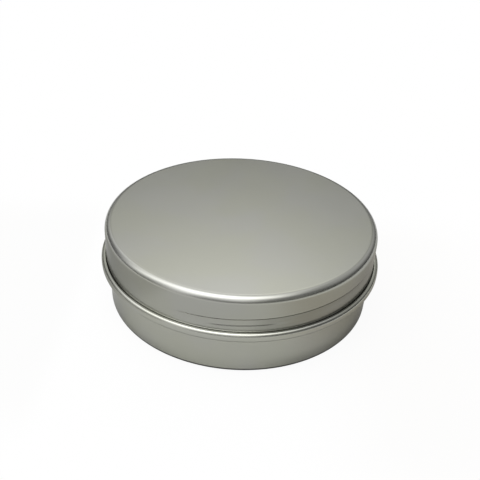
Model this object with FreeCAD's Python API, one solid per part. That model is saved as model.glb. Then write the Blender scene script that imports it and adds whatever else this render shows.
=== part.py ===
"""Screw-top aluminium can: a shallow round tin, shut, of two turned solids.

The base carries a rolled rim at mid height, and the lid's skirt stands in the channel
inside that rim. A single thread, rolled into the skirt, shows as a shallow helical
groove. Millimetres; +Z is up, and the origin is the centre of the face it stands on.
"""

import math
import os

import FreeCAD
import Part

V = FreeCAD.Vector

# Overall sizes
CAN_DIAMETER = 68.0
CAN_HEIGHT = 20.7
BASE_HEIGHT = 12.0

# Wall and foot of the base
WALL_DRAFT = 0.3
BASE_CORNER_RADIUS = 0.9
FOOT_WIDTH = 3.4
FOOT_RECESS_DEPTH = 0.3
FOOT_RECESS_BLEND = 0.4

# Rolled rim, and the channel inside it
RIM_OVERHANG = 1.7
RIM_THICKNESS = 2.25
RIM_UNDER_RADIUS = 0.9
RIM_ROOT_RADIUS = 0.35
RIM_LIP_WIDTH = 1.05
LIP_EDGE_WIDTH = 0.25
LIP_INNER_RADIUS = 0.15
CHANNEL_DEPTH = 0.9
CHANNEL_ROOT_RADIUS = 0.1

# Lid
LID_GAP = 0.1
LID_CORNER_RADIUS = 1.7
HEM_RADIUS = 0.3

# Thread rolled into the skirt, right-handed; its lead is the turn, in degrees, from its
# lower end to the -Y side, where it stands THREAD_ABOVE_RIM over the rim
THREAD_PITCH = 4.7
THREAD_TURNS = 0.6
THREAD_LEAD = 30.0
THREAD_WIDTH = 1.6
THREAD_DEPTH = 0.2
THREAD_ABOVE_RIM = 2.35

# Radii and heights that follow
RIM_RADIUS = CAN_DIAMETER / 2
WALL_RADIUS = RIM_RADIUS - RIM_OVERHANG
FOOT_RADIUS = WALL_RADIUS - WALL_DRAFT
RECESS_RADIUS = FOOT_RADIUS - FOOT_WIDTH
CHANNEL_RADIUS = RIM_RADIUS - RIM_LIP_WIDTH
LID_RADIUS = CHANNEL_RADIUS - LID_GAP
RIM_UNDERSIDE = BASE_HEIGHT - RIM_THICKNESS
CHANNEL_FLOOR = BASE_HEIGHT - CHANNEL_DEPTH


def fillet_points(before, corner, after, radius):
    """Start, middle and end of the arc that rounds a corner of a profile."""
    back = (before - corner).normalize()
    ahead = (after - corner).normalize()
    half = back.getAngle(ahead) / 2
    reach = radius / math.tan(half)
    inward = (back + ahead).normalize()
    middle = corner + inward * (radius / math.sin(half) - radius)
    return corner + back * reach, middle, corner + ahead * reach


def turned(outline):
    """Solid turned about Z from (radius, height, corner radius) points, axis to axis."""
    corners = [V(radius, 0, height) for radius, height, rounding in outline]
    edges = []
    last = corners[0]
    for index in range(1, len(outline)):
        corner = corners[index]
        rounding = outline[index][2]
        if rounding == 0:
            edges.append(Part.makeLine(last, corner))
            last = corner
            continue
        start, middle, end = fillet_points(
            corners[index - 1], corner, corners[index + 1], rounding
        )
        edges.append(Part.makeLine(last, start))
        edges.append(Part.Arc(start, middle, end).toShape())
        last = end
    edges.append(Part.makeLine(last, corners[0]))
    section = Part.Face(Part.Wire(edges))
    return section.revolve(V(0, 0, 0), V(0, 0, 1), 360)


def helical_tool(radius, level, bore):
    """Round bar wound right-handed about Z, at this level on the -Y side, ball-ended."""
    path = Part.makeHelix(THREAD_PITCH, THREAD_PITCH * THREAD_TURNS, radius)
    path.translate(V(0, 0, level - THREAD_PITCH * THREAD_LEAD / 360))
    path.rotate(V(0, 0, 0), V(0, 0, 1), -90 - THREAD_LEAD)
    start = path.Edges[0].firstVertex().Point
    end = path.Edges[-1].lastVertex().Point
    heading = path.Edges[0].tangentAt(path.Edges[0].FirstParameter)
    section = Part.Wire([Part.makeCircle(bore, start, heading)])
    bar = Part.Wire(path.Edges).makePipeShell([section], True, True)
    return [bar, Part.makeSphere(bore, start), Part.makeSphere(bore, end)]


def make_base():
    """Base, its rolled rim and the channel floor that the lid stands on."""
    shoulder_radius = RIM_LIP_WIDTH - LIP_EDGE_WIDTH
    return turned([
        (0, FOOT_RECESS_DEPTH, 0),
        (RECESS_RADIUS, FOOT_RECESS_DEPTH, 0),
        (RECESS_RADIUS + FOOT_RECESS_BLEND, 0, 0),
        (FOOT_RADIUS, 0, BASE_CORNER_RADIUS),
        (WALL_RADIUS, RIM_UNDERSIDE, RIM_ROOT_RADIUS),
        (RIM_RADIUS, RIM_UNDERSIDE, RIM_UNDER_RADIUS),
        (RIM_RADIUS, BASE_HEIGHT, shoulder_radius),
        (CHANNEL_RADIUS, BASE_HEIGHT, LIP_INNER_RADIUS),
        (CHANNEL_RADIUS, CHANNEL_FLOOR, CHANNEL_ROOT_RADIUS),
        (0, CHANNEL_FLOOR, 0),
    ])


def make_lid():
    """Lid, standing on the channel floor, with the thread rolled into its skirt."""
    lid = turned([
        (0, CHANNEL_FLOOR, 0),
        (LID_RADIUS, CHANNEL_FLOOR, HEM_RADIUS),
        (LID_RADIUS, CAN_HEIGHT, LID_CORNER_RADIUS),
        (0, CAN_HEIGHT, 0),
    ])
    half = THREAD_WIDTH / 2
    bore = (half * half + THREAD_DEPTH * THREAD_DEPTH) / (2 * THREAD_DEPTH)
    wound_radius = LID_RADIUS - THREAD_DEPTH + bore
    level = BASE_HEIGHT + THREAD_ABOVE_RIM
    return lid.cut(helical_tool(wound_radius, level, bore))


def main():
    """Write one STEP file for each solid."""
    os.makedirs("parts", exist_ok=True)
    solids = {
        "can_base": make_base(),
        "lid": make_lid(),
    }
    for node, shape in solids.items():
        one = shape.Solids[0] if len(shape.Solids) == 1 else shape
        one.exportStep(f"parts/{node}.step")
        print(node, len(shape.Solids), one.isValid(), round(one.Volume, 2))


main()
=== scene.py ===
"""Looks of a shut, shallow screw-top aluminium can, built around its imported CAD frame.

Two turned pieces of satin sheet are modelled: the base, with its rolled rim and the
channel inside it, and the lid, with the thread rolled into its skirt. Lengths are in
metres, +Z is up, and every place comes from the boxes of the CAD nodes.
"""

import logging
import math
from dataclasses import dataclass, field
from enum import Enum
from typing import Any, Callable, Sequence

import bpy
from mathutils import Matrix, Vector

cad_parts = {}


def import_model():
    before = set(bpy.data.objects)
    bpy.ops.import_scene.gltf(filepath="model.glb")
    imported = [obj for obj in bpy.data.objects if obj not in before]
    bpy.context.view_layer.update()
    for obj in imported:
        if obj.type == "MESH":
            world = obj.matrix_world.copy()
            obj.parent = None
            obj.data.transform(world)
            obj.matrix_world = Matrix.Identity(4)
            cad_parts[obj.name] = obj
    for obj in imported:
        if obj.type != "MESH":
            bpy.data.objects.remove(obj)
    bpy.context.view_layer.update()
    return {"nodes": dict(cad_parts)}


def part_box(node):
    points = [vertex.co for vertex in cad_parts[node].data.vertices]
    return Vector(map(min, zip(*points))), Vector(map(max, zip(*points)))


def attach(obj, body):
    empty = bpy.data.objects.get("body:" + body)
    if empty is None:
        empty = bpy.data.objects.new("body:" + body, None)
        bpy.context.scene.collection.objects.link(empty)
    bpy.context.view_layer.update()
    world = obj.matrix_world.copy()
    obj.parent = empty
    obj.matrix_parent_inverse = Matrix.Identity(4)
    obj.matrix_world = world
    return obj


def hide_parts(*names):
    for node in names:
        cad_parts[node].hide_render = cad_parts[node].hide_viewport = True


frame: dict[str, Any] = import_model()

MM = 0.001
TINY = 1e-7
FULL_TURN = 2 * math.pi
BODY = "root"
log = logging.getLogger("can")

Point = tuple[float, float]
Span = tuple[float, float]
Turns = tuple[float, float, float, float]
Colour = tuple[float, float, float, float]
Warp = Callable[[float, float, float], Point]


# --------------------------------------------------------------------------
# Shader graphs


class Sock:
    """A value socket whose arithmetic adds Math nodes to its graph."""

    def __init__(self, graph: "Graph", socket: bpy.types.NodeSocket) -> None:
        """Keep the socket and the graph that it belongs to."""
        self.graph = graph
        self.socket = socket

    def apply(self, operation: str, *values: Any) -> "Sock":
        """Add a Math node of this operation on the given values.

        Args:
            operation: Name of the Math node's operation.
            values: Numbers or sockets, in the node's order.

        Returns:
            The node's result.
        """
        inputs = dict(enumerate(values))
        made = self.graph.node("ShaderNodeMath", {"operation": operation}, inputs)
        return Sock(self.graph, made.outputs[0])

    def __add__(self, other: Any) -> "Sock":
        """Sum."""
        return self.apply("ADD", self, other)

    __radd__ = __add__

    def __sub__(self, other: Any) -> "Sock":
        """Difference."""
        return self.apply("SUBTRACT", self, other)

    def __rsub__(self, other: Any) -> "Sock":
        """Difference from a number on the left."""
        return self.apply("SUBTRACT", other, self)

    def __mul__(self, other: Any) -> "Sock":
        """Product."""
        return self.apply("MULTIPLY", self, other)

    __rmul__ = __mul__

    def __truediv__(self, other: Any) -> "Sock":
        """Quotient."""
        return self.apply("DIVIDE", self, other)

    def __rtruediv__(self, other: Any) -> "Sock":
        """Quotient of a number on the left."""
        return self.apply("DIVIDE", other, self)

    def __pow__(self, other: Any) -> "Sock":
        """Power."""
        return self.apply("POWER", self, other)

    def exp(self) -> "Sock":
        """Exponential."""
        return self.apply("EXPONENT", self)

    def most(self, other: Any) -> "Sock":
        """The larger of this and another value."""
        return self.apply("MAXIMUM", self, other)

    def unit(self) -> "Sock":
        """This value held between 0 and 1."""
        return self.apply("MINIMUM", self, 1.0).most(0.0)

    def ramp(self, low: float, high: float) -> "Sock":
        """A smooth step from 0 at low to 1 at high.

        Args:
            low: Value at which the step starts.
            high: Value at which it ends; it may be below low.

        Returns:
            The step, between 0 and 1.
        """
        part = ((self - low) / (high - low)).unit()
        return part * part * (3.0 - 2.0 * part)


class Graph:
    """The node tree of a material or a world, which nodes are added to."""

    def __init__(self, owner: bpy.types.Material | bpy.types.World) -> None:
        """Empty the owner's node tree and keep it."""
        owner.use_nodes = True
        self.tree = owner.node_tree
        self.tree.nodes.clear()

    def node(
        self,
        kind: str,
        settings: dict[str, Any] | None = None,
        inputs: dict[Any, Any] | None = None,
    ) -> bpy.types.Node:
        """Add a node.

        Args:
            kind: The node's type.
            settings: Properties, which are set first.
            inputs: Values, wrapped sockets or sockets, by input name or index.

        Returns:
            The new node.
        """
        made = self.tree.nodes.new(kind)
        for key, value in (settings or {}).items():
            setattr(made, key, value)
        for key, value in (inputs or {}).items():
            source = value.socket if isinstance(value, Sock) else value
            if isinstance(source, bpy.types.NodeSocket):
                self.tree.links.new(source, made.inputs[key])
            else:
                made.inputs[key].default_value = source
        return made

    def vector(self, operation: str, *values: Any) -> bpy.types.Node:
        """Add a Vector Math node of this operation on the given vectors."""
        return self.node(
            "ShaderNodeVectorMath", {"operation": operation}, dict(enumerate(values))
        )

    def blend(self, factor: Any, first: Any, second: Any) -> bpy.types.NodeSocket:
        """Mix two colours.

        Args:
            factor: Share of the second colour.
            first: Colour or socket.
            second: Colour or socket.

        Returns:
            The mixed colour's socket.
        """
        mix = self.node(
            "ShaderNodeMix", {"data_type": "RGBA"}, {0: factor, 6: first, 7: second}
        )
        return mix.outputs[2]

    def place(self) -> tuple[bpy.types.NodeSocket, list[Sock]]:
        """Add the nodes that give the object's own coordinates.

        Returns:
            The coordinates as one vector, and as x, y and z.
        """
        whole = self.node("ShaderNodeTexCoord").outputs["Object"]
        parts = self.node("ShaderNodeSeparateXYZ", None, {0: whole})
        return whole, [Sock(self, part) for part in parts.outputs]


# --------------------------------------------------------------------------
# Finishes, with painted highlights and painted shade


def grey(level: float, warmth: float = 0.0) -> Colour:
    """A near-neutral colour; positive warmth raises green a little and lowers blue."""
    return (level, level * (1.0 + 0.1 * warmth), level * (1.0 - warmth), 1.0)


@dataclass(frozen=True)
class SheetPoint:
    """A point of a turned sheet: radius, height, and turn from the front towards +X."""

    radius: Sock
    height: Sock
    turn: Sock

    def in_arc(self, turns: Turns) -> Sock:
        """How far the point lies inside an arc of the sheet.

        Args:
            turns: Where the arc starts to fade in, is full, starts to fade out and is
                gone, in degrees from the front towards +X.

        Returns:
            The share, from 0 to 1.
        """
        begin, full, fade, end = (math.radians(degrees) for degrees in turns)
        return self.turn.ramp(begin, full) * self.turn.ramp(end, fade)


@dataclass(frozen=True)
class PaintedLightBand:
    """A ring of the surface with a painted highlight or painted shade.

    The ring lies between two radii and two heights, in metres, and fades out over the
    soft width. Its gain multiplies the sheet's brightness. With turns it is only an
    arc, as in SheetPoint.in_arc.
    """

    radii: Span
    heights: Span
    gain: float
    soft: float = 0.25 * MM
    turns: Turns | None = None

    def mask(self, point: SheetPoint) -> Sock:
        """How far a point lies inside the ring.

        Args:
            point: The point.

        Returns:
            The share, from 0 to 1.
        """
        parts = [
            place.ramp(low - self.soft, low) * place.ramp(high + self.soft, high)
            for place, (low, high) in (
                (point.radius, self.radii),
                (point.height, self.heights),
            )
        ]
        ring = parts[0] * parts[1]
        return ring if self.turns is None else ring * point.in_arc(self.turns)


@dataclass(frozen=True)
class ThreadShade:
    """Painted shade on the skirt under the rolled thread, where the thread rises.

    The line is the height of the thread's upper edge at the front, and the turns are
    those of SheetPoint.in_arc.
    """

    line: float
    pitch: float
    gain: float = 0.78
    turns: Turns = (2.0, 14.0, 50.0, 66.0)
    soft: float = 0.25 * MM

    def mask(self, point: SheetPoint) -> Sock:
        """How far a point lies inside the zone, from 0 to 1, whatever its radius."""
        under = point.turn * (self.pitch / FULL_TURN) + self.line - point.height
        return under.ramp(0.0, self.soft) * point.in_arc(self.turns)


@dataclass(frozen=True)
class Noise:
    """A noise of a scale per metre of its coordinates, moved by its offset."""

    scale: float
    detail: float
    offset: float = 0.0
    shift: tuple[float, float, float] = (1.0, 0.7, 0.3)

    def level(self, g: Graph, place: Any, seed: float) -> Sock:
        """The noise at a place.

        Args:
            g: The graph that needs it.
            place: The coordinates.
            seed: Added to the offset, so two pieces don't share their pattern.

        Returns:
            The value, from 0 to 1.
        """
        far = seed + self.offset
        moved = g.vector("ADD", place, tuple(far * share for share in self.shift))
        inputs = {"Vector": moved.outputs[0], "Scale": self.scale, "Detail": self.detail}
        return Sock(g, g.node("ShaderNodeTexNoise", None, inputs).outputs[0])


@dataclass(frozen=True)
class SatinAluminium:
    """Bare drawn aluminium with a satin surface.

    The sheet is a soft grey with faint clouds and blots of tone, a fine grain, and draw
    marks that run round the walls. Depths of tone are shares of its brightness, depths
    of relief are in metres, and the draw's steps are noise steps for each radian along
    the marks and each millimetre across them.
    """

    name: str
    level: float = 0.355
    warmth: float = 0.10
    warmth_spread: float = 0.02
    warmth_step: Span = (0.35, 0.65)
    # Share by which a painted highlight turns the sheet's hue to white.
    highlight_whitening: float = 0.35
    edge_tint: float = 0.6
    roughness: float = 0.24
    roughness_spread: float = 0.05
    cloud_depth: float = 0.04
    blot_depth: float = 0.02
    grain_depth: float = 0.0008 * MM
    draw_depth: float = 0.0010 * MM
    draw_along: float = 0.6
    draw_across: float = 9.0
    clouds: Noise = Noise(90.0, 3.0)
    blots: Noise = Noise(420.0, 2.0, 3.0)
    hues: Noise = Noise(60.0, 2.0, 17.0)
    grain: Noise = Noise(1.0 / (0.12 * MM), 2.0, 7.0)
    draw: Noise = Noise(1.0, 2.0, 11.0)

    def build(
        self, bands: Sequence[PaintedLightBand | ThreadShade], seed: float
    ) -> bpy.types.Material:
        """Make the material.

        Args:
            bands: The rings and zones of painted highlight and painted shade.
            seed: Offset of the noise, so two pieces don't share their clouds.

        Returns:
            The material, its surface set.
        """
        material = bpy.data.materials.new(self.name)
        g = Graph(material)
        place, (x, y, z) = g.place()
        turn = x.apply("ARCTAN2", y, x)
        radius = ((x * x) + (y * y)) ** 0.5
        clouds = self.clouds.level(g, place, seed)
        grain = self.grain.level(g, place, seed)
        point = SheetPoint(radius, z, turn + math.pi / 2)
        wound = g.node(
            "ShaderNodeCombineXYZ",
            None,
            {
                0: turn * self.draw_along,
                1: z / MM * self.draw_across,
                2: radius / MM * self.draw_across,
            },
        )
        draw = self.draw.level(g, wound.outputs[0], seed)
        relief = (grain - 0.5) * self.grain_depth + (draw - 0.5) * self.draw_depth
        bump = g.node(
            "ShaderNodeBump", None, {"Strength": 1.0, "Distance": 1.0, "Height": relief}
        )
        shader = g.node(
            "ShaderNodeBsdfPrincipled",
            None,
            {
                "Base Color": self._colour(g, place, clouds, point, bands, seed),
                "Metallic": 1.0,
                "Roughness": (clouds - 0.5) * self.roughness_spread
                + (grain - 0.5) * self.roughness_spread
                + self.roughness,
                "Specular Tint": grey(self.edge_tint),
                "Normal": bump.outputs[0],
            },
        )
        g.node("ShaderNodeOutputMaterial", None, {"Surface": shader.outputs[0]})
        return material

    def _colour(
        self,
        g: Graph,
        place: Any,
        clouds: Sock,
        point: SheetPoint,
        bands: Sequence[PaintedLightBand | ThreadShade],
        seed: float,
    ) -> bpy.types.NodeSocket:
        """The sheet's colour, whitened and less warm where a band paints a highlight.

        Args:
            g: The material's graph.
            place: The object's coordinates.
            clouds: The clouds of tone.
            point: The same place on the turned sheet.
            bands: The rings and zones of painted highlight and painted shade.
            seed: Offset of the noise.

        Returns:
            The colour's socket.
        """
        blots = self.blots.level(g, place, seed)
        hues = self.hues.level(g, place, seed)
        cool, warm = (grey(1.0, self.warmth + part * self.warmth_spread) for part in (-1, 1))
        hue = g.blend(hues.ramp(*self.warmth_step), cool, warm)
        level = (clouds - 0.5) * self.cloud_depth + (blots - 0.5) * self.blot_depth + 1.0
        # Each band paints shade (gain below 1) or a highlight (gain above 1).
        for band in bands:
            mask = band.mask(point)
            level = level * (mask * (band.gain - 1.0) + 1.0)
            # Painted highlights also lose the sheet's warmth.
            if band.gain > 1.0:
                hue = g.blend(mask * self.highlight_whitening, hue, grey(1.0))
        scaled = {0: hue, "Scale": level * self.level}
        return g.node("ShaderNodeVectorMath", {"operation": "SCALE"}, scaled).outputs[0]


class Ray(Enum):
    """Rays that a surface can answer in their own way, by Light Path output."""

    CAMERA = "Is Camera Ray"
    GLOSSY = "Is Glossy Ray"
    TRANSMISSION = "Is Transmission Ray"


def by_ray(g: Graph, shares: dict[Ray, float]) -> Sock:
    """A value for each kind of ray.

    Args:
        g: The graph that needs the value.
        shares: The value for each kind of ray; a kind that isn't named gets 0.

    Returns:
        The value for the ray at hand.
    """
    path = g.node("ShaderNodeLightPath")
    value, *rest = (Sock(g, path.outputs[ray.value]) * share for ray, share in shares.items())
    for other in rest:
        value = value.most(other)
    return value


@dataclass(frozen=True)
class PaintedShadePatch:
    """A darker patch of floor beside the can: painted shade that the sheet mirrors.

    It fills a box of the floor, in metres, and fades in from the outer to the inner value
    at each side.
    """

    colour: tuple[float, float, float]
    left: Span
    right: Span
    front: Span
    back: Span

    def mask(self, x: Sock, y: Sock) -> Sock:
        """How far a point of the floor lies on the painted shade, from 0 to 1."""
        across = x.ramp(*self.left) * x.ramp(*self.right)
        return across * y.ramp(*self.front) * y.ramp(*self.back)


# Darker patches of floor beside the can: painted shade, which the walls mirror.
PAINTED_SHADE_PATCHES = (
    PaintedShadePatch(
        colour=(0.66, 0.62, 0.56),
        left=(10 * MM, 38 * MM),
        right=(85 * MM, 42 * MM),
        front=(-80 * MM, -48 * MM),
        back=(45 * MM, 20 * MM),
    ),
    PaintedShadePatch(
        colour=(0.64, 0.64, 0.62),
        left=(-130 * MM, -75 * MM),
        right=(-37 * MM, -44 * MM),
        front=(-60 * MM, -40 * MM),
        back=(45 * MM, 25 * MM),
    ),
)


@dataclass(frozen=True)
class PaleFloor:
    """Plain pale floor.

    Part of what the camera and a polished surface see of it is a set white, and the
    rest is the matt floor, which keeps the can's shadow.
    """

    name: str = "pale_floor"
    colour: tuple[float, float, float] = (0.9, 0.9, 0.9)
    seen_white: float = 0.94
    mirrored_white: float = 0.15
    # Darker patches of the matt floor: painted shade that the walls mirror.
    shade_patches: tuple[PaintedShadePatch, ...] = PAINTED_SHADE_PATCHES

    def build(self) -> bpy.types.Material:
        """Make the material.

        Returns:
            The material, its surface set.
        """
        material = bpy.data.materials.new(self.name)
        g = Graph(material)
        white_share = by_ray(
            g,
            {
                Ray.CAMERA: self.seen_white,
                Ray.GLOSSY: self.mirrored_white,
                Ray.TRANSMISSION: self.mirrored_white,
            },
        )
        _, (x, y, _) = g.place()
        matt = self._matt(g, self.colour)
        # Mix in the painted shade patches of the matt floor.
        for shade_patch in self.shade_patches:
            inputs = {0: shade_patch.mask(x, y), 1: matt, 2: self._matt(g, shade_patch.colour)}
            matt = g.node("ShaderNodeMixShader", None, inputs).outputs[0]
        white = g.node("ShaderNodeEmission", None, {"Color": (1, 1, 1, 1), "Strength": 1.0})
        mix = g.node(
            "ShaderNodeMixShader", None, {0: white_share, 1: matt, 2: white.outputs[0]}
        )
        g.node("ShaderNodeOutputMaterial", None, {"Surface": mix.outputs[0]})
        return material

    def _matt(self, g: Graph, colour: tuple[float, float, float]) -> bpy.types.NodeSocket:
        """A matt surface of this colour."""
        return g.node("ShaderNodeBsdfDiffuse", None, {"Color": (*colour, 1.0)}).outputs[0]


# --------------------------------------------------------------------------
# Turned meshes


@dataclass(frozen=True)
class Corner:
    """A corner of a turned outline, with its radius, height and rounding in metres."""

    radius: float
    height: float
    rounding: float = 0.0

    def place(self) -> Vector:
        """The corner itself, before it is rounded."""
        return Vector((self.radius, self.height))


@dataclass(frozen=True)
class Outline:
    """A turned outline from axis to axis, with its corners rounded by arcs.

    The step is the longest along a straight run, and the arc step the widest turn, in
    degrees, between points of an arc. A guard point stands this close to each end of a
    run, so that smooth shading keeps the run straight.
    """

    corners: Sequence[Corner]
    step: float
    arc_step: float
    guard: float = 0.12 * MM

    def points(self) -> list[Point]:
        """Place the points.

        Returns:
            Each point's radius and height, from the first corner to the last.
        """
        first, last = self.corners[0], self.corners[-1]
        made: list[Point] = [(first.radius, first.height)]
        for index in range(1, len(self.corners) - 1):
            arc = self._arc(index)
            made += self._run(made[-1], arc[0]) + arc
        made += self._run(made[-1], (last.radius, last.height))
        made.append((last.radius, last.height))
        return made

    def _run(self, start: Point, end: Point) -> list[Point]:
        """Points between two ends.

        Args:
            start: The run's start.
            end: The run's end.

        Returns:
            The points, without the ends.
        """
        length = math.dist(start, end)
        if length < TINY:
            return []
        guard = min(self.guard, length / 4)
        inner = max(1, math.ceil((length - 2 * guard) / self.step))
        marks = [guard + (length - 2 * guard) * i / inner for i in range(inner + 1)]
        return [
            (
                start[0] + (end[0] - start[0]) * mark / length,
                start[1] + (end[1] - start[1]) * mark / length,
            )
            for mark in marks
        ]

    def _arc(self, index: int) -> list[Point]:
        """Points of the arc that rounds a corner.

        Args:
            index: The corner's place in the outline.

        Returns:
            The points, or the corner itself if it is sharp.
        """
        here = self.corners[index]
        if here.rounding == 0:
            return [(here.radius, here.height)]
        corner = here.place()
        back = (self.corners[index - 1].place() - corner).normalized()
        ahead = (self.corners[index + 1].place() - corner).normalized()
        half = back.angle(ahead) / 2
        centre = corner + (back + ahead).normalized() * (here.rounding / math.sin(half))
        start = corner + back * (here.rounding / math.tan(half)) - centre
        end = corner + ahead * (here.rounding / math.tan(half)) - centre
        swing = start.angle_signed(end)
        count = max(2, math.ceil(abs(swing) / math.radians(self.arc_step)))
        made = []
        for i in range(count + 1):
            spoke = start.copy()
            spoke.rotate(Matrix.Rotation(-swing * i / count, 2))
            made.append((centre.x + spoke.x, centre.y + spoke.y))
        return made


def unwarped(radius: float, height: float, turn: float) -> Point:
    """Leave an outline round: a ring point keeps its place at every turn."""
    return radius, height


def turned_mesh(
    name: str, points: Sequence[Point], segments: int, warp: Warp = unwarped
) -> bpy.types.Object:
    """Turn an outline about Z into a closed mesh.

    Args:
        name: Name of the new object.
        points: The outline, from axis to axis.
        segments: Steps round the axis.
        warp: Gives a ring point's radius and height from its own and its turn.

    Returns:
        The object, smooth shaded and in the scene.
    """
    rings = [p for p in points if p[0] > TINY]
    vertices: list[tuple[float, float, float]] = []
    for radius, height in rings:
        for i in range(segments):
            turn = FULL_TURN * i / segments
            r, z = warp(radius, height, turn)
            vertices.append((r * math.sin(turn), -r * math.cos(turn), z))
    first, last = len(vertices), len(vertices) + 1
    vertices.append((0.0, 0.0, points[0][1]))
    vertices.append((0.0, 0.0, points[-1][1]))
    faces: list[tuple[int, ...]] = []
    for ring in range(len(rings) - 1):
        low, high = ring * segments, (ring + 1) * segments
        for i in range(segments):
            j = (i + 1) % segments
            faces.append((low + i, low + j, high + j, high + i))
    top = (len(rings) - 1) * segments
    for i in range(segments):
        j = (i + 1) % segments
        faces.append((first, j, i))
        faces.append((last, top + i, top + j))
    mesh = bpy.data.meshes.new(name)
    mesh.from_pydata(vertices, [], faces)
    mesh.validate()
    mesh.shade_smooth()
    made = bpy.data.objects.new(name, mesh)
    bpy.context.scene.collection.objects.link(made)
    return made


def smooth(part: float) -> float:
    """A smooth step from 0 to 1 as part goes from 0 to 1."""
    held = min(max(part, 0.0), 1.0)
    return held * held * (3 - 2 * held)


# --------------------------------------------------------------------------
# Pieces


@dataclass
class TurnedPiece:
    """A turned piece of the can, as big as the CAD node that it stands for."""

    node: str
    radius: float = field(init=False)
    bottom: float = field(init=False)
    top: float = field(init=False)

    def __post_init__(self) -> None:
        """Take the piece's radius and heights from its node's box."""
        low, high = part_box(self.node)
        self.radius = (high[0] - low[0]) / 2
        self.bottom, self.top = low[2], high[2]


@dataclass
class CanBase(TurnedPiece):
    """Base of the can: foot, drafted wall, rolled rim and the channel inside it."""

    node: str = "can_base"
    draft: float = 0.3 * MM
    foot_rounding: float = 0.9 * MM
    foot_width: float = 3.4 * MM
    recess: float = 0.3 * MM
    recess_blend: float = 0.4 * MM
    recess_rounding: float = 0.25 * MM
    rim_overhang: float = 1.7 * MM
    rim_thickness: float = 2.25 * MM
    rim_under: float = 0.9 * MM
    rim_root: float = 0.35 * MM
    lip_width: float = 1.05 * MM
    lip_edge: float = 0.25 * MM
    lip_inner: float = 0.15 * MM
    channel: float = 0.9 * MM
    channel_rounding: float = 0.15 * MM
    step: float = 1.2 * MM
    arc_step: float = 7.0
    segments: int = 480
    seed: float = 2.0
    finish: SatinAluminium = SatinAluminium("base_aluminium", level=0.368)

    def outline(self) -> list[Point]:
        """Place the outline's points.

        Returns:
            The points, from under the foot to the channel's floor.
        """
        wall = self.radius - self.rim_overhang
        foot = wall - self.draft
        hollow = foot - self.foot_width
        under = self.top - self.rim_thickness
        inside = self.radius - self.lip_width
        floor = self.top - self.channel
        corners = (
            Corner(0.0, self.recess),
            Corner(hollow, self.recess, self.recess_rounding),
            Corner(hollow + self.recess_blend, 0.0, self.recess_rounding),
            Corner(foot, 0.0, self.foot_rounding),
            Corner(wall, under, self.rim_root),
            Corner(self.radius, under, self.rim_under),
            Corner(self.radius, self.top, self.lip_width - self.lip_edge),
            Corner(inside, self.top, self.lip_inner),
            Corner(inside, floor, self.channel_rounding),
            Corner(0.0, floor),
        )
        return Outline(corners, self.step, self.arc_step).points()

    def bands(self) -> tuple[PaintedLightBand, ...]:
        """List the bands of the finish.

        Returns:
            A painted highlight on the inner shoulder of the rim in front, painted shade
            round the foot's edge, and painted shade on the lowest part of the wall at each
            side.
        """
        inside = self.radius - self.lip_width
        # Painted highlight on the rim's inner shoulder, in front.
        shoulder = PaintedLightBand(
            radii=(inside - MM, inside + 0.55 * MM),
            heights=(self.top - 0.4 * MM, self.top + MM),
            gain=1.6,
            turns=(-65.0, -42.0, 28.0, 50.0),
        )
        # Painted shade round the foot's edge, where the can meets the floor.
        foot_shade = PaintedLightBand(
            radii=(0.0, self.radius), heights=(-MM, 0.7 * MM), gain=0.15, soft=0.35 * MM
        )
        # Painted shade on the lowest part of the wall at the right.
        low_right_shade = PaintedLightBand(
            radii=(0.0, self.radius),
            heights=(-MM, 0.5 * MM),
            gain=0.66,
            soft=4.0 * MM,
            turns=(2.0, 32.0, 120.0, 160.0),
        )
        # Painted shade on the lowest part of the wall at the left.
        low_left_shade = PaintedLightBand(
            radii=(0.0, self.radius),
            heights=(-MM, 0.5 * MM),
            gain=0.80,
            soft=3.0 * MM,
            turns=(-120.0, -90.0, -42.0, -10.0),
        )
        return shoulder, foot_shade, low_right_shade, low_left_shade

    def build(self) -> bpy.types.Object:
        """Make the base, let it stand for its CAD node, and dress it.

        Returns:
            The base.
        """
        made = turned_mesh("base_shell", self.outline(), self.segments)
        made.data.materials.append(self.finish.build(self.bands(), self.seed))
        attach(made, BODY)
        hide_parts(self.node)
        return made


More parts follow.
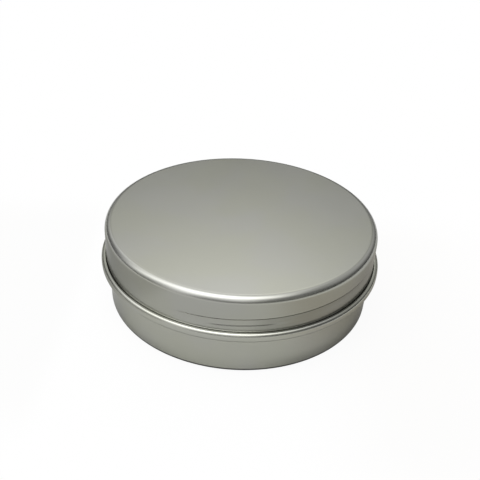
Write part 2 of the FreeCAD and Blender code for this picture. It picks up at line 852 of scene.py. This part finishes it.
@dataclass
class Lid(TurnedPiece):
    """Lid: flat top, rounded edge, and a skirt with one rolled right-handed thread.

    At the front the thread's middle stands thread_rise over the lid's lower edge. Its
    lower slope is narrow round slope_middle and widens to either side by slope_growth:
    the widening starts slope_even away from the middle and takes slope_change. The
    thread starts at thread_start and fades in and out over thread_fade. The start and
    the middle are in degrees from the front towards +X, and the rest in radians.
    """

    node: str = "lid"
    edge_rounding: float = 1.7 * MM
    hem: float = 0.3 * MM
    pitch: float = 4.7 * MM
    turns: float = 0.6
    thread_start: float = -30.0
    thread_width: float = 1.6 * MM
    thread_depth: float = 0.2 * MM
    thread_rise: float = 3.25 * MM
    thread_fade: float = 0.3
    upper_slope: float = 0.5 * MM
    lower_slope: float = 0.75 * MM
    slope_growth: float = 1.4 * MM
    slope_middle: float = 2.0
    slope_even: float = 0.15
    slope_change: float = 0.3
    skirt_skin: float = 0.05 * MM
    step: float = 0.07 * MM
    arc_step: float = 4.0
    flat_margin: float = 0.3 * MM
    under_thinning: int = 40
    over_thinning: int = 20
    segments: int = 600
    seed: float = 5.0
    finish: SatinAluminium = SatinAluminium("lid_aluminium")

    def outline(self) -> list[Point]:
        """Place the outline's points, with fewer of them on the two flat faces.

        Returns:
            The points, from the channel's floor to the middle of the top.
        """
        corners = (
            Corner(0.0, self.bottom),
            Corner(self.radius, self.bottom, self.hem),
            Corner(self.radius, self.top, self.edge_rounding),
            Corner(0.0, self.top),
        )
        points = Outline(corners, self.step, self.arc_step).points()
        flat_radius = self.radius - self.edge_rounding - self.flat_margin
        flat = [p for p in points if p[0] < flat_radius]
        kept = [p for p in points if p[0] >= flat_radius]
        middle = (self.bottom + self.top) / 2
        under = [p for p in flat if p[1] < middle]
        over = [p for p in flat if p[1] > middle]
        return (
            under[:: self.under_thinning]
            + kept
            + over[::-1][:: self.over_thinning][::-1]
        )

    def bands(self) -> tuple[PaintedLightBand | ThreadShade, ...]:
        """List the bands of the finish.

        Returns:
            A painted highlight on the edge of the top, a painted reflection brightening the
            skirt's foot in front, painted shade on the whole skirt, and more painted shade
            in its zone under the thread.
        """
        skirt = (self.radius - MM, self.radius + MM)
        # Painted highlight along the rounded edge of the top.
        edge = PaintedLightBand(
            radii=(
                self.radius - 0.7 * self.edge_rounding,
                self.radius - 0.2 * self.edge_rounding,
            ),
            heights=(self.top - self.edge_rounding, self.top + MM),
            gain=1.25,
        )
        # Painted reflection: the skirt's foot above the rim made brighter in front.
        skirt_foot_reflection = PaintedLightBand(
            radii=skirt,
            heights=(self.bottom - MM, self.bottom + 1.1 * MM),
            gain=1.6,
            turns=(-72.0, -48.0, 70.0, 100.0),
        )
        # Painted shade: the whole skirt made a little darker.
        skirt_shade = PaintedLightBand(
            radii=skirt,
            heights=(self.bottom, self.top - self.edge_rounding),
            gain=0.90,
            soft=0.4 * MM,
        )
        # Painted shade on the skirt under the thread, where it rises.
        thread_top = self.bottom + self.thread_rise + self.thread_width / 2
        return edge, skirt_foot_reflection, skirt_shade, ThreadShade(thread_top, self.pitch)

    def build(self) -> bpy.types.Object:
        """Make the lid, let it stand for its CAD node, and dress it.

        Returns:
            The lid.
        """
        made = turned_mesh("lid_shell", self.outline(), self.segments, self.warp)
        made.data.materials.append(self.finish.build(self.bands(), self.seed))
        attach(made, BODY)
        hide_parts(self.node)
        return made

    def warp(self, radius: float, height: float, turn: float) -> Point:
        """Roll the thread into the skirt.

        Args:
            radius: Distance of the point from the axis.
            height: Height of the point.
            turn: Angle from the front, towards +X.

        Returns:
            The point's radius and height once the thread is rolled.
        """
        if radius < self.radius - self.skirt_skin:
            return radius, height
        start, reach = math.radians(self.thread_start), FULL_TURN * self.turns
        along = (turn - start) % FULL_TURN
        level = self.bottom + self.thread_rise + self.pitch * (along + start) / FULL_TURN
        fade = smooth(along / self.thread_fade) * smooth((reach - along) / self.thread_fade)
        aside = abs(along + start - math.radians(self.slope_middle))
        growth = smooth((aside - self.slope_even) / self.slope_change)
        lower_slope = self.lower_slope + self.slope_growth * growth
        above = (height - level - self.thread_width / 2) / self.upper_slope
        below = (level - self.thread_width / 2 - height) / lower_slope
        kept = (1 - smooth(above + 0.5)) * (1 - smooth(below + 0.5))
        return radius - self.thread_depth * kept * fade, height


# --------------------------------------------------------------------------
# Studio


@dataclass(frozen=True)
class SoftLight:
    """A soft round patch of light on the studio's dome.

    Azimuth 0 is the camera's side and 90 its right; spread is the angle at which the
    patch has fallen to about a third. All three angles are in degrees.
    """

    azimuth: float
    elevation: float
    spread: float
    strength: float

    def axis(self) -> tuple[float, float, float]:
        """Direction from the can to the middle of the patch."""
        a, e = math.radians(self.azimuth), math.radians(self.elevation)
        return (math.sin(a) * math.cos(e), -math.cos(a) * math.cos(e), math.sin(e))

    def level(self, g: Graph, direction: Any) -> Sock:
        """The patch's light along a direction.

        Args:
            g: The dome's graph.
            direction: Direction from the can.

        Returns:
            The light's strength there.
        """
        aligned = Sock(g, g.vector("DOT_PRODUCT", direction, self.axis()).outputs["Value"])
        tight = 1.0 / (1.0 - math.cos(math.radians(self.spread)))
        return ((aligned - 1.0) * tight).exp() * self.strength


@dataclass(frozen=True)
class Dome:
    """The studio's dome: soft lights, and the white that the camera sees behind the can.

    A polished surface sees a small part of that white beside the lights.
    """

    lights: tuple[SoftLight, ...]
    mirrored_white: float = 0.095

    def build(self) -> None:
        """Make it the scene's world."""
        world = bpy.data.worlds.new("studio_dome")
        bpy.context.scene.world = world
        g = Graph(world)
        direction = g.node("ShaderNodeTexCoord").outputs["Generated"]
        total = self.lights[0].level(g, direction)
        for light in self.lights[1:]:
            total = total + light.level(g, direction)
        seen = by_ray(g, {Ray.CAMERA: 1.0})
        mirrored = by_ray(
            g, {Ray.GLOSSY: self.mirrored_white, Ray.TRANSMISSION: self.mirrored_white}
        )
        total = total * (1.0 - seen) + mirrored + seen
        back = g.node("ShaderNodeBackground", None, {"Color": (1, 1, 1, 1), "Strength": total})
        g.node("ShaderNodeOutputWorld", None, {"Surface": back.outputs[0]})


@dataclass(frozen=True)
class Studio:
    """Floor and dome around the can; the floor is round and lies just under the foot."""

    dome: Dome
    floor: PaleFloor = PaleFloor()
    floor_radius: float = 3.0
    floor_sides: int = 64
    floor_drop: float = 0.02 * MM

    def build(self) -> None:
        """Lay the floor under the can and put up the dome."""
        turns = [FULL_TURN * i / self.floor_sides for i in range(self.floor_sides)]
        rim = [
            (self.floor_radius * math.cos(turn), self.floor_radius * math.sin(turn), 0.0)
            for turn in turns
        ]
        sheet = bpy.data.meshes.new("floor")
        sheet.from_pydata(rim, [], [tuple(range(self.floor_sides))])
        made = bpy.data.objects.new("floor", sheet)
        bpy.context.scene.collection.objects.link(made)
        made.location.z = -self.floor_drop
        sheet.materials.append(self.floor.build())
        self.dome.build()


def swung(first: Vector, second: Vector, degrees: float) -> tuple[Vector, Vector]:
    """Turn two axes in their own plane, the first towards the second.

    Args:
        first: One axis.
        second: The axis square to it.
        degrees: How far they turn.

    Returns:
        Both axes, turned.
    """
    turn = math.radians(degrees)
    return (
        first * math.cos(turn) + second * math.sin(turn),
        second * math.cos(turn) - first * math.sin(turn),
    )


@dataclass(frozen=True)
class StandCamera:
    """Camera on a stand in front of the can, looking down at it, slightly rolled.

    It stands at a distance and an elevation from a point on the can's axis, in metres
    and degrees, and is then panned right, tilted up and rolled, in degrees. Its lens
    and its sensor's width are in millimetres.
    """

    distance: float = 0.180
    aim_height: float = 0.010
    elevation: float = 33.73
    pan: float = -0.06
    tilt: float = 1.05
    roll: float = 2.96
    lens: float = 53.96
    sensor_width: float = 36.0
    clip: Span = (0.01, 20.0)

    def build(self) -> bpy.types.Object:
        """Make the camera and let the scene use it.

        Returns:
            The camera.
        """
        rise = math.radians(self.elevation)
        back = Vector((0.0, -math.cos(rise), math.sin(rise)))
        right, up = Vector((1.0, 0.0, 0.0)), Vector((0.0, math.sin(rise), math.cos(rise)))
        ahead, right = swung(-back, right, self.pan)
        ahead, up = swung(ahead, up, self.tilt)
        right, up = swung(right, up, self.roll)
        data = bpy.data.cameras.new("stand_camera")
        data.lens, data.sensor_width = self.lens, self.sensor_width
        data.clip_start, data.clip_end = self.clip
        made = bpy.data.objects.new("stand_camera", data)
        turn = Matrix((right, up, -ahead)).transposed().to_4x4()
        place = Vector((0.0, 0.0, self.aim_height)) + back * self.distance
        made.matrix_world = Matrix.Translation(place) @ turn
        bpy.context.scene.collection.objects.link(made)
        bpy.context.scene.camera = made
        return made


# Azimuth, elevation, spread and strength of each patch of light
LIGHTS = (
    SoftLight(125.0, 36.0, 16.0, 0.42),
    SoftLight(148.0, 24.0, 16.0, 0.43),
    SoftLight(212.0, 24.0, 16.0, 0.56),
    SoftLight(315.0, 6.0, 20.0, 0.74),
    SoftLight(0.0, 26.0, 18.0, 0.67),
    SoftLight(45.0, 22.0, 18.0, 0.19),
    SoftLight(92.0, 40.0, 16.0, 0.35),
    SoftLight(270.0, 26.0, 18.0, 0.65),
    SoftLight(315.0, 26.0, 18.0, 0.47),
    SoftLight(0.0, 45.0, 16.0, 0.74),
    SoftLight(180.0, 45.0, 16.0, 1.97),
    SoftLight(225.0, 45.0, 16.0, 0.68),
    SoftLight(270.0, 45.0, 16.0, 1.30),
    SoftLight(315.0, 45.0, 16.0, 1.30),
    SoftLight(0.0, 64.0, 16.0, 1.30),
    SoftLight(45.0, 64.0, 16.0, 0.93),
    SoftLight(135.0, 64.0, 16.0, 0.56),
    SoftLight(225.0, 64.0, 16.0, 0.81),
    SoftLight(270.0, 64.0, 16.0, 1.30),
    SoftLight(315.0, 64.0, 16.0, 1.30),
    SoftLight(0.0, 86.0, 18.0, 2.42),
)


def main() -> None:
    """Build the pieces, the studio and the camera."""
    logging.basicConfig(level=logging.INFO, format="%(name)s: %(message)s")
    bpy.context.scene.view_settings.view_transform = "Standard"
    for piece in (CanBase(), Lid()):
        made = piece.build()
        log.info("%s: %d faces", made.name, len(made.data.polygons))
    Studio(Dome(LIGHTS)).build()
    StandCamera().build()


if __name__ == "__main__":
    main()
